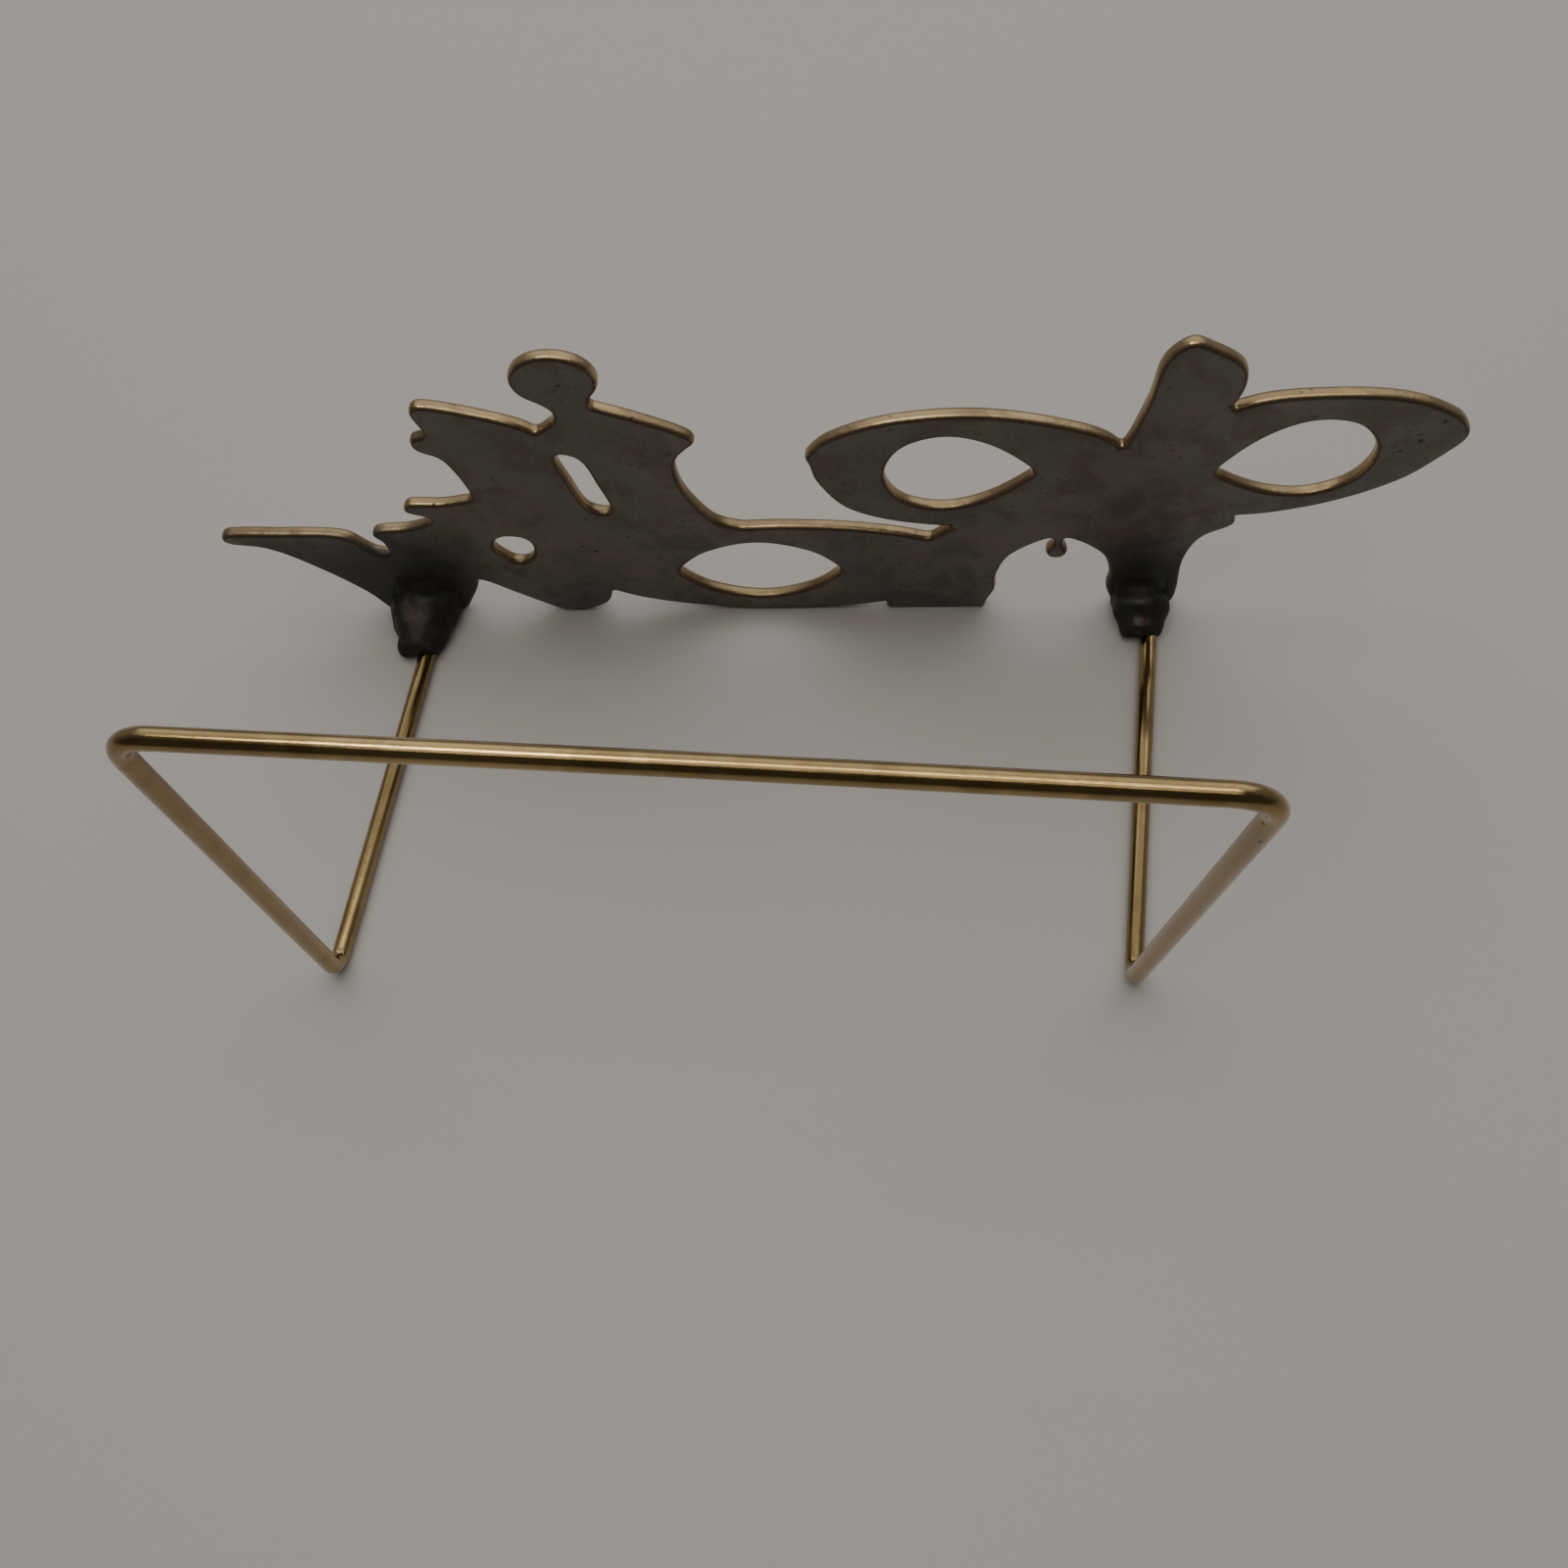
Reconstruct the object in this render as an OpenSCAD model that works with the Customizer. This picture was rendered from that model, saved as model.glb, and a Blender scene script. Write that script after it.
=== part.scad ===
// Photo album stand: a flat pierced brass plate stands upright at the front and one bent
// brass rod, soldered to its back, makes the two legs, the two uprights and the crossbar.
// The album stands between the plate and the uprights.
// X runs along the plate, +Y towards the crossbar and +Z up. The stand rests on Z = 0,
// and X = 0, Y = 0 is the middle of its footprint.

/* [Plate] */
// Overall width of the plate
plate_w = 219; // [180:1:270]
// Overall height of the plate
plate_h = 72; // [68:1:90]
// Thickness of the plate
plate_t = 2.5; // [1.5:0.1:5]
// Height of the lower row of the pierced pattern
row_h = 27; // [25:0.5:30]
// Height of the underside of the shoulders below the bud
shoulder_h = 49; // [46:0.5:52]
// Width of the bud
bud_w = 14.5; // [11:0.5:17]
// Height of the bud
bud_h = 11.5; // [9:0.5:13]
// Width of the neck below the bud
neck_w = 6; // [4:0.5:8]
// Width of the slit in the body below the bud
slit_w = 4.4; // [3:0.2:6]

/* [Leaves of the plate] */
// Width of the eye-shaped opening between the two feet
eye_w = 30; // [24:0.5:34]
// Height of the eye-shaped opening
eye_h = 17.5; // [12:0.5:18]
// Metal left below the eye-shaped opening
eye_rim = 4.5; // [3:0.5:6]
// How far the eye-shaped opening lies towards the body from the middle of its gap
eye_shift = 4; // [0:0.5:5]
// Length of the openings in the two high leaves
petal_l = 25; // [20:0.5:27]
// Height of the openings in the two high leaves
petal_h = 19; // [15:0.5:21]
// Metal between a high leaf's opening and its tip
petal_band = 13.5; // [10:0.5:16]
// Width of the archway beside the right foot
arch_w = 21; // [16:0.5:24]
// Height of the archway
arch_h = 22; // [16:0.5:23]
// Diameter of the drop that hangs in the archway
drop_d = 4; // [3:0.5:6]
// Width of the finial between the high leaves
finial_w = 15; // [12:0.5:18]

/* [Feet of the plate] */
// Width of the plate's foot at the left leg
left_foot_w = 16; // [13:0.5:18]
// Width of the plate's foot at the right leg
right_foot_w = 13; // [11:0.5:15]
// How far the middle of the left foot lies outside its leg
left_foot_shift = 2.5; // [0:0.5:3]
// How far the middle of the right foot lies inside its leg
right_foot_shift = 2.5; // [0:0.5:3]

/* [Rod] */
// Diameter of the brass rod
rod_d = 3.2; // [2:0.1:5]
// Distance between the two heels, centre to centre
heel_span = 140; // [110:1:170]
// Length of a leg from the plate to its heel
leg_l = 76; // [50:1:110]
// Height of the crossbar above the legs, centre to centre
upright_h = 91; // [60:1:120]
// Bend radius at the heels, to the rod's centre line
heel_bend = 3.4; // [3:0.2:8]
// Bend radius at the upper corners, to the rod's centre line
corner_bend = 6; // [5:0.5:12]
// How much the rod is drawn thinner where it is bent
bend_draw = 0.06; // [0.04:0.01:0.3]
// How far the heels' middle lies to the left of the plate's middle
heel_shift = 12.5; // [0:0.5:16]
// How far the legs' front ends lie to the right of their heels
leg_skew = 8.5; // [0:0.5:12]
// How far the upper corners lie to the right of the heels
side_lean = 3.3; // [-4:0.1:6]
// How far the left upright leans back
left_lean = 0.8; // [-2:0.1:10]
// How far the right upright leans back
right_lean = 9; // [-2:0.1:12]

/* [Solder] */
// How far the left joint reaches along its leg
left_joint_l = 11.5; // [8:0.5:16]
// How far the right joint reaches along its leg
right_joint_l = 8.5; // [6:0.5:12]
// Thickness of solder over the rod where a joint ends
joint_cover = 2.7; // [2.5:0.1:4]
// Gap between the solder and the surface that the stand rests on
joint_lift = 0.5; // [0.3:0.1:0.8]

/* [Hidden] */
$fn = 64;
rod_r = rod_d / 2;
// How far the straights of the rod run into its bends
bend_lap = 0.05;
left_end = plate_w / 2;
right_end = -plate_w / 2;
// The stand's depth sets where its front face is, so that Y = 0 is midway
deep_lean = max(left_lean, right_lean);
depth = plate_t + leg_l + deep_lean + rod_r;
back_y = plate_t - depth / 2;
// Ends and corners of the rod's centre line, from the left leg round to the right leg
left_leg_x = heel_shift + heel_span / 2 - leg_skew;
right_leg_x = heel_shift - heel_span / 2 - leg_skew;
heel_y = back_y + leg_l;
top_z = rod_r + upright_h;
ROUTE = [
    [left_leg_x, back_y, rod_r],
    [heel_shift + heel_span / 2, heel_y, rod_r],
    [heel_shift + heel_span / 2 - side_lean, heel_y + left_lean, top_z],
    [heel_shift - heel_span / 2 - side_lean, heel_y + right_lean, top_z],
    [heel_shift - heel_span / 2, heel_y, rod_r],
    [right_leg_x, back_y, rod_r],
];
BENDS = [0, heel_bend, corner_bend, corner_bend, heel_bend, 0];
// Middles of the plate's two feet
left_foot = left_leg_x + left_foot_shift;
right_foot = right_leg_x + right_foot_shift;
// The body below the bud stands beside the left foot, and the outer stem beside the archway
body_x = left_foot - 39;
stem_x = right_foot + right_foot_w / 2 + arch_w;
// The low leaf joins the two halves of the plate and is as wide as the gap between them
low_left = body_x + 5;
low_right = stem_x + 3;
low_x = (low_left + low_right) / 2;
// Middles of the openings in the two high leaves
petal_z = row_h + 14.5;
inner_petal_x = right_foot + 36;
outer_petal_x = right_end + petal_band + petal_l / 2;
finial_x = (inner_petal_x + outer_petal_x) / 2 - 8;

function unit(v) = v / norm(v);

// Direction of the curve at point i: along its neighbours, or none at a sharp point,
// which has a 1 as its third number
function tangent(pts, i) =
    let (n = len(pts), before = pts[(i + n - 1) % n], after = pts[(i + 1) % n], here = pts[i])
    here[2] == 1 ? [0, 0] : [after.x - before.x, after.y - before.y]
        / (norm([after.x - here.x, after.y - here.y]) + norm([here.x - before.x, here.y - before.y]));

// A closed smooth outline through the points [x, z], or [x, z, 1] where it has a sharp point
module leaf(pts) {
    n = len(pts);
    polygon([for (i = [0:n - 1])
        let (
            j = (i + 1) % n,
            p = [pts[i].x, pts[i].y],
            q = [pts[j].x, pts[j].y],
            reach = norm(q - p),
            leave = tangent(pts, i) * reach,
            arrive = tangent(pts, j) * reach,
            steps = max(1, ceil(reach / 1.5))
        )
        for (k = [0:steps - 1])
            let (t = k / steps, t2 = t * t, t3 = t2 * t)
            p * (2 * t3 - 3 * t2 + 1) + leave * (t3 - 2 * t2 + t)
                + q * (3 * t2 - 2 * t3) + arrive * (t3 - t2)]);
}

// A leaf-shaped opening of length l and height h whose tip points along +X
module petal(l, h) {
    leaf([
        [l * 0.5, 0.8], [l * 0.2, h * 0.38], [-l * 0.1, h * 0.5], [-l * 0.38, h * 0.36], [-l * 0.5, 0],
        [-l * 0.38, -h * 0.36], [-l * 0.1, -h * 0.5], [l * 0.2, -h * 0.38], [l * 0.5, -0.8],
    ]);
}

// An oval of full width w and height h
module oval(w, h) {
    polygon([for (a = [0:6:354]) [w / 2 * cos(a), h / 2 * sin(a)]]);
}

// Left foot with its wing, and the scallops below the body
module left_foot_leaves() {
    x = left_foot;
    toe = left_foot_w / 2;
    leaf([
        [x + toe - 1.5, 0, 1], [x + toe, 1.5], [x + toe + 3, 7.5], [x + toe + 10, 16],
        [left_end - 8, row_h - 5],
        [left_end - 1, row_h - 3.2], [left_end, row_h - 1.6], [left_end - 1.5, row_h - 0.2],
        [left_end - 12, row_h - 0.3], [x + toe + 5, row_h - 0.6], [x + toe + 0.5, row_h - 1.8],
        [x + 4.6, row_h - 6.5], [x + 2.4, row_h - 7], [x - 12, 12], [x - toe - 0.5, 2],
        [x - toe + 1.5, 0, 1],
    ]);
}

// Small leaf, and the lobe below the body
module body_base() {
    x = left_foot;
    leaf([
        [x - 4, 8], [x, 14], [x + 1.6, 18.5], [x + 2.5, row_h - 3], [x + 3.8, row_h - 1.2],
        [x + 2.6, row_h + 0.2],
        [x - 4, row_h + 1], [x - 9, row_h + 3.5], [x - 4.5, row_h + 6], [x - 5.6, row_h + 8],
        [x - 12, row_h + 8], [x - 18, row_h + 9], [x - 30, row_h + 9], [x - 50, row_h + 8],
        [x - 58, row_h + 2], [x - 66, row_h - 1], [x - 56, 16], [x - 39.5, 8.5], [x - 37, 3],
        [x - 33.5, 0.8],
        [x - 30, 0], [x - 26.5, 0.8], [x - 19, 6.5], [x - 13, 11], [x - 10, 10.5],
    ]);
}

// Body below the bud, with a leaf on each shoulder
module body() {
    x = body_x;
    s = shoulder_h;
    leaf([
        [x + 20.5, row_h + 5], [x + 21, row_h + 12], [x + 23.5, s - 1.5], [x + 27.2, s + 1],
        [x + 27.4, s + 3.8],
        [x + 24.6, s + 5], [x + 25.6, s + 10.5], [x + 24, s + 12.2], [x + 16, s + 10.2], [x + 8, s + 7],
        [x + 5.5, s + 5, 1], [x - 3, s + 12, 1], [x - 12, s + 8], [x - 19.5, s + 3.8],
        [x - 21, s + 1.8],
        [x - 19.5, s + 0.3], [x - 17, s - 3], [x - 17, s - 9], [x - 19, row_h + 7], [x - 22, row_h + 2],
        [x - 26, row_h - 1], [x, row_h - 6],
    ]);
}

// Bud on its neck
module bud() {
    x = body_x;
    neck_x = body_x - 1.5;
    translate([x, plate_h - bud_h / 2]) oval(bud_w, bud_h);
    leaf([
        [neck_x + neck_w, shoulder_h + 4], [neck_x + neck_w / 2, shoulder_h + 9.5],
        [x + bud_w * 0.36, plate_h - bud_h * 0.75], [x, plate_h - bud_h / 2],
        [x - bud_w * 0.36, plate_h - bud_h * 0.8], [neck_x - neck_w / 2, shoulder_h + 9.5],
        [neck_x - neck_w, shoulder_h + 4],
    ]);
}

// Two stems with flared feet, the leaf tip over the right foot and the metal above them
module stems() {
    x = right_foot;
    toe = right_foot_w / 2;
    leaf([
        [stem_x + 20.5, 0, 1], [stem_x + 21, 1.6], [stem_x + 17, 4.5], [stem_x + 15.5, 11],
        [stem_x + 15.5, 20, 1],
        [stem_x + 6, row_h + 2], [stem_x - 2, row_h + 8], [x + 6, row_h + 12], [x - 6, row_h + 9],
        [x - toe - 6, row_h + 2], [x - toe - 7, row_h - 1], [x - toe - 2, row_h - 5],
        [x - toe, row_h - 12],
        [x - toe - 0.4, 5], [x - toe, 1], [x - toe + 1.5, 0, 1],
    ]);
}

// High leaf nearer the bud
module inner_leaf() {
    inner = inner_petal_x + petal_l / 2 + petal_band;
    leaf([
        [inner, petal_z + 5], [inner - 4, petal_z + 9.5], [inner - 14, petal_z + 13.6],
        [inner - 28, petal_z + 14.8], [inner - 42, petal_z + 12], [inner - 52, petal_z + 7],
        [inner - 60, petal_z - 8], [inner - 34, petal_z - 15], [inner - 18, petal_z - 14],
        [inner - 7, petal_z - 9.5], [inner - 1.8, petal_z - 2], [inner - 0.6, petal_z + 3],
    ]);
}

// High leaf at the plate's right end
module outer_leaf() {
    leaf([
        [right_end, petal_z + 8], [right_end + 3, petal_z + 12.5], [right_end + 12, petal_z + 16.8],
        [right_end + 24, petal_z + 18], [right_end + 36, petal_z + 16.5], [right_end + 47, petal_z + 9],
        [right_end + 50, petal_z], [right_end + 46, petal_z - 9], [right_end + 34, petal_z - 13],
        [right_end + 20, petal_z - 10.5], [right_end + 8, petal_z - 4], [right_end + 1.6, petal_z + 4],
    ]);
}

// Finial between the high leaves
module finial() {
    leaf([
        [finial_x + finial_w / 2 + 5, row_h + 3], [finial_x + finial_w / 2 + 0.5, petal_z + 10],
        [finial_x + finial_w / 2 - 1, petal_z + 18], [finial_x + finial_w / 2 - 2, plate_h - 4],
        [finial_x + finial_w / 2 - 5.5, plate_h - 0.2], [finial_x - 1, plate_h - 1.2],
        [finial_x - finial_w / 2 + 0.5, plate_h - 5.5], [finial_x - finial_w / 2 - 0.5, petal_z + 20],
        [finial_x - finial_w / 2 + 1, petal_z + 12], [finial_x - finial_w / 2 - 5, row_h + 3],
    ]);
}

// Pointed archway with a drop hanging from its crown
module archway() {
    foot = right_foot + right_foot_w / 2;
    difference() {
        leaf([
            [foot - 1.5, -1, 1], [foot - 1.5, 1.5], [foot, 6], [foot, arch_h * 0.5],
            [foot + 2.5, arch_h * 0.8],
            [foot + arch_w / 2, arch_h + 0.5], [stem_x - 2.5, arch_h * 0.8], [stem_x, arch_h * 0.5],
            [stem_x, 6], [stem_x + 1.5, 1.5], [stem_x + 1.5, -1, 1],
        ]);
        translate([foot + arch_w / 2, arch_h - drop_d]) circle(d = drop_d);
        translate([foot + arch_w / 2 - drop_d / 4, arch_h - drop_d]) square([drop_d / 2, drop_d + 1]);
    }
}

module openings() {
    // Eye of the low leaf
    translate([low_x + eye_shift, eye_rim + eye_h / 2]) leaf([
        [eye_w / 2, 0.8], [eye_w * 0.32, eye_h * 0.34], [0, eye_h / 2], [-eye_w * 0.32, eye_h * 0.34],
        [-eye_w / 2, 0.8], [-eye_w / 2, -0.8], [-eye_w * 0.32, -eye_h * 0.34], [0, -eye_h / 2],
        [eye_w * 0.32, -eye_h * 0.34], [eye_w / 2, -0.8],
    ]);
    // High leaves, whose openings both point at the finial
    translate([inner_petal_x, petal_z]) mirror([1, 0]) petal(petal_l, petal_h);
    translate([outer_petal_x, petal_z + 2]) rotate(-12) petal(petal_l, petal_h);
    archway();
    // Slit in the body
    translate([body_x, (shoulder_h + row_h) / 2 + 2]) leaf([
        [slit_w / 2 + 1.2, 8], [2 - slit_w / 2, 7], [-slit_w / 2, 0], [-slit_w / 2 - 1.2, -8],
        [slit_w / 2 - 2, -7],
        [slit_w / 2, 0],
    ]);
    // Drop beside the small leaf
    translate([left_foot - 22, 21]) leaf([
        [2.6, 3.2], [0, 4], [-3, 3], [-3.8, 0], [-2.4, -3.2], [0, -4.2], [2, -2.4], [3.6, 0.6],
    ]);
}

module fret_plate() {
    color("dimgray")
    translate([0, back_y, 0])
    rotate([90, 0, 0])
    difference() {
        union() {
            linear_extrude(plate_t) left_foot_leaves();
            linear_extrude(plate_t) body_base();
            linear_extrude(plate_t) body();
            linear_extrude(plate_t) bud();
            linear_extrude(plate_t) translate([low_x, row_h / 2]) oval(low_left - low_right, row_h);
            linear_extrude(plate_t) stems();
            linear_extrude(plate_t) inner_leaf();
            linear_extrude(plate_t) outer_leaf();
            linear_extrude(plate_t) finial();
        }
        translate([0, 0, -1]) linear_extrude(plate_t + 2) openings();
    }
}

// How far a bend of radius r at corner i of the route reaches along its two straights
function bend_reach(i) =
    let (u = unit(ROUTE[i - 1] - ROUTE[i]), v = unit(ROUTE[i + 1] - ROUTE[i]))
    BENDS[i] / tan(acos(u * v) / 2);

// Where the straight from corner i towards its neighbour ends, a little way into the bend
function straight_end(i, towards) =
    BENDS[i] == 0 ? ROUTE[i] : ROUTE[i] + unit(ROUTE[towards] - ROUTE[i]) * (bend_reach(i) - bend_lap);

// A round bar of diameter d from p to q
module bar(p, q, d) {
    way = q - p;
    translate(p)
    rotate([0, acos(way.z / norm(way)), atan2(way.y, way.x)])
    cylinder(h = norm(way), d = d);
}

// The bend at corner i of the route: part of a ring in the plane of its two straights
module bend(i) {
    u = unit(ROUTE[i - 1] - ROUTE[i]);
    v = unit(ROUTE[i + 1] - ROUTE[i]);
    half = acos(u * v) / 2;
    centre = ROUTE[i] + unit(u + v) * BENDS[i] / sin(half);
    axis = unit(cross(v, u));
    out = unit(ROUTE[i] + u * bend_reach(i) - centre);
    side = cross(axis, out);
    multmatrix([
        [out.x, side.x, axis.x, centre.x],
        [out.y, side.y, axis.y, centre.y],
        [out.z, side.z, axis.z, centre.z],
        [0, 0, 0, 1],
    ])
    rotate_extrude(angle = 180 - 2 * half)
    translate([BENDS[i], 0])
    circle(d = rod_d - bend_draw);
}

module wire_frame() {
    color("darkgoldenrod") {
        for (i = [0:len(ROUTE) - 2]) {
            bar(straight_end(i, i + 1), straight_end(i + 1, i), rod_d);
        }
        for (i = [1:len(ROUTE) - 2]) {
            bend(i);
        }
    }
}

// A tapered lump of solder that holds leg number i of the route against the plate's foot
module solder(foot_x, foot_w, reach, end, heel) {
    cover = rod_r + joint_cover;
    color("darkslategray")
    difference() {
        intersection() {
            translate([foot_x, back_y, rod_r])
            rotate([-90, 0, 0])
            cylinder(h = reach, r1 = foot_w / 2, r2 = cover);
            translate([foot_x - foot_w, back_y, joint_lift]) cube([2 * foot_w, 2 * reach, 2 * foot_w]);
        }
        bar(ROUTE[end], ROUTE[heel], rod_d);
    }
}

module left_solder() {
    solder(left_foot, left_foot_w, left_joint_l, 0, 1);
}

module right_solder() {
    solder(right_foot, right_foot_w, right_joint_l, 5, 4);
}

fret_plate();
wire_frame();
left_solder();
right_solder();
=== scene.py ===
# %% [markdown]
# # A brass photo album stand
# The stand is a flat plate of pierced brass, standing upright, with one bent brass rod soldered to
# its back. The album stands on the two legs of the rod, between the plate and the uprights. The
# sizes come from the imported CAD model, which loads here as a fixed frame in metres. This lesson
# builds the finished surfaces over it: rounded edges, a drawn rod, lumpy solder, and the old
# patina on the plate. Shapes are worked out in millimetres, and MM turns them into metres.

# %% Frame and sizes
import math
import random

import bmesh
import bpy
import numpy as np
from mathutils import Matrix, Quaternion, Vector, geometry, kdtree, noise


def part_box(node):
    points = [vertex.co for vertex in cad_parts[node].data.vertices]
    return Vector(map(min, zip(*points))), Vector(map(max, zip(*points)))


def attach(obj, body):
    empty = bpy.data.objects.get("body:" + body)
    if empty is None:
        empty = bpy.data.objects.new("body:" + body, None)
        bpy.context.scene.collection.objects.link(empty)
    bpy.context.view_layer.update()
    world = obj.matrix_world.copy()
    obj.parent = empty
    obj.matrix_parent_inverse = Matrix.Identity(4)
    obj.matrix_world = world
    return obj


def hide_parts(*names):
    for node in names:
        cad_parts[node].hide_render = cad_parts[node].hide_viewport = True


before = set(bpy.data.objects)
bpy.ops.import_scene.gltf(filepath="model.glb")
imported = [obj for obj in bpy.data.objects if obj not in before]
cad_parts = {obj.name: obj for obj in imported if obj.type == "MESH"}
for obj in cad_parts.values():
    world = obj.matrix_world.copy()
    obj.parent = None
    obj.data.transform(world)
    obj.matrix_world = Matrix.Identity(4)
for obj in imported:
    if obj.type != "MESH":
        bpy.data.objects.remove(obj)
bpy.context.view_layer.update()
MM = 0.001
plate_low, plate_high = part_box("fret_plate")
rod_low, rod_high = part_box("wire_frame")

# %% [markdown]
# ## Reading a CAD mesh
# A CAD node arrives as loose triangles. Before its edges can be followed, a copy is merged so that
# neighbours share their vertices. The node itself is never touched: it is hidden later, when a
# finished piece stands for it.

# %% Merged copy of a CAD node, and other mesh helpers
SAME_POINT = 1e-6


def merged_copy(node):
    """A node's mesh with its doubled vertices merged, ready to be followed from face to face."""
    bm = bmesh.new()
    bm.from_mesh(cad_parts[node].data)
    bmesh.ops.remove_doubles(bm, verts=bm.verts, dist=SAME_POINT)
    bm.normal_update()
    return bm


def shown(name, data):
    """A new object for this data, at the origin and linked to the scene."""
    made = bpy.data.objects.new(name, data)
    bpy.context.scene.collection.objects.link(made)
    return made


def smooth_shaded(mesh):
    for polygon in mesh.polygons:
        polygon.use_smooth = True


def store(mesh, name, values):
    """Keeps one number with every point of the mesh, for a material to read."""
    layer = mesh.attributes.new(name, "FLOAT", "POINT")
    layer.data.foreach_set("value", np.asarray(values, np.float32))


# %% [markdown]
# ## Outline of the pierced plate
# The real plate was sawn or cast, then filed by hand, so its outline runs in smooth curves and no
# corner is truly sharp. The edges around the plate's flat back are chained into closed loops, one
# for the outside and one for each piercing. Each loop is resampled evenly and smoothed a little,
# which rounds the corners.

# %% Loops around the plate's back
FACES_BACK = 0.99
IN_PLANE = 0.01 * MM


def back_loops(bm, back_y):
    """The closed loops of points round the flat back, in mm, each turning the same way."""
    after = {}
    for face in bm.faces:
        off_plane = abs(face.calc_center_median().y - back_y)
        if face.normal.y < FACES_BACK or off_plane > IN_PLANE:
            continue
        for loop in face.loops:
            neighbours = [f for f in loop.edge.link_faces if f is not face]
            others = [f for f in neighbours if f.normal.y > FACES_BACK]
            if not others:
                after[loop.vert.index] = loop.link_loop_next.vert.index
    bm.verts.ensure_lookup_table()
    loops = []
    while after:
        start, here = next(iter(after.items()))
        ring = [start]
        del after[start]
        while here != start:
            ring.append(here)
            here = after.pop(here)
        loops.append(np.array([(bm.verts[i].co.x, bm.verts[i].co.z) for i in ring]) / MM)
    return loops


plate_bm = merged_copy("fret_plate")
raw_loops = back_loops(plate_bm, plate_high.y)
plate_bm.free()
print("plate outline:", len(raw_loops), "loops of", [len(r) for r in raw_loops], "points")

# %% Even, softened loops
RIM_STEP = 0.55
CORNER_SOFTNESS = 0.5
FEWEST_POINTS = 12
BELL_REACH = 3


def even_loop(points, step):
    """The closed loop with its points moved to even steps along it."""
    closed = np.vstack([points, points[:1]])
    reach = np.concatenate([[0], np.cumsum(np.linalg.norm(np.diff(closed, axis=0), axis=1))])
    count = max(FEWEST_POINTS, int(round(reach[-1] / step)))
    at = np.linspace(0, reach[-1], count, endpoint=False)
    return np.stack([np.interp(at, reach, closed[:, k]) for k in (0, 1)], axis=1)


def curved(points, corner_turn=30, parts=6):
    """The loop through the same points as a smooth curve, except at real corners."""
    after = np.roll(points, -1, axis=0) - points
    length = np.linalg.norm(after, axis=1)
    before = np.roll(after, 1, axis=0)
    turn = np.degrees(np.abs(np.angle((after @ [1, 1j]) / (before @ [1, 1j]))))
    way = (after + before) / (length + np.roll(length, 1))[:, None]
    way[turn > corner_turn] = 0
    spots = []
    for t in np.arange(parts) / parts:
        p, q = points, np.roll(points, -1, axis=0)
        leave, arrive = way * length[:, None], np.roll(way, -1, axis=0) * length[:, None]
        spots.append(p * (2 * t ** 3 - 3 * t ** 2 + 1) + leave * (t ** 3 - 2 * t ** 2 + t)
                     + q * (3 * t ** 2 - 2 * t ** 3) + arrive * (t ** 3 - t ** 2))
    return np.stack(spots, axis=1).reshape(-1, 2)


def softened(points, step, softness):
    """The loop at even steps, its corners rounded by a bell-shaped average along it."""
    fine_step = step / 3
    fine = even_loop(curved(points), fine_step)
    span = int(BELL_REACH * softness / fine_step) + 1
    shifts = np.arange(-span, span + 1)
    weight = np.exp(-0.5 * (shifts * fine_step / softness) ** 2)
    weight /= weight.sum()
    smooth = sum(w * np.roll(fine, shift, axis=0) for w, shift in zip(weight, shifts))
    return even_loop(smooth, step)


loops = [softened(ring, RIM_STEP, CORNER_SOFTNESS) for ring in raw_loops]
rim_points = np.vstack(loops)
inward = []
for ring in loops:
    run = np.roll(ring, -1, axis=0) - np.roll(ring, 1, axis=0)
    run /= np.linalg.norm(run, axis=1)[:, None]
    inward.append(np.stack([run[:, 1], -run[:, 0]], axis=1))
rim_inward = np.vstack(inward)
print("rim samples:", len(rim_points))

# %% [markdown]
# ## Filling the outline
# The plate's two faces could be left as the CAD's long thin triangles, but then no soft edge and
# no hollow in the metal could be shaped on them. So rings of points follow the rim inwards, closer
# together where the edge curves over, and a staggered grid fills the rest. A Delaunay
# triangulation, held to the outline, joins them.

# %% Points inside the plate
random.seed(11)
ROUND_OVER = 0.85
RING_ANGLES = (22, 45, 68, 90)
LAST_RING = 0.6
RING_EVERY = (1, 1, 1, 1, 2)
RING_CLEARANCE = 0.96
GRID_STEP = 0.95
GRID_JITTER = 0.12
GRID_CLEARANCE = 0.35
rim_tree = kdtree.KDTree(len(rim_points))
for i, (x, z) in enumerate(rim_points):
    rim_tree.insert((x, z, 0), i)
rim_tree.balance()


def rim_distance(x, z):
    """Distance from the rim in mm, above 0 inside the metal."""
    spots = rim_tree.find_n((x, z, 0), 2)
    best = 1e9
    for co, i, _ in spots:
        dx, dz = x - co[0], z - co[1]
        nx, nz = rim_inward[i]
        across = dx * nx + dz * nz
        aside = max(abs(dx * nz - dz * nx) - RIM_STEP / 2, 0)
        here = math.copysign(math.hypot(across, aside), across)
        if abs(here) < abs(best):
            best = here
    return best


ring_depths = [ROUND_OVER * (1 - math.cos(math.radians(a))) for a in RING_ANGLES]
ring_depths.append(ROUND_OVER + LAST_RING)
flat_points = [tuple(p) for p in rim_points]
flat_depth = [0.0] * len(flat_points)
for depth, every in zip(ring_depths, RING_EVERY):
    for (x, z), (nx, nz) in list(zip(rim_points, rim_inward))[::every]:
        px, pz = x + nx * depth, z + nz * depth
        if rim_distance(px, pz) > depth * RING_CLEARANCE:
            flat_points.append((px, pz))
            flat_depth.append(depth)

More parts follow.
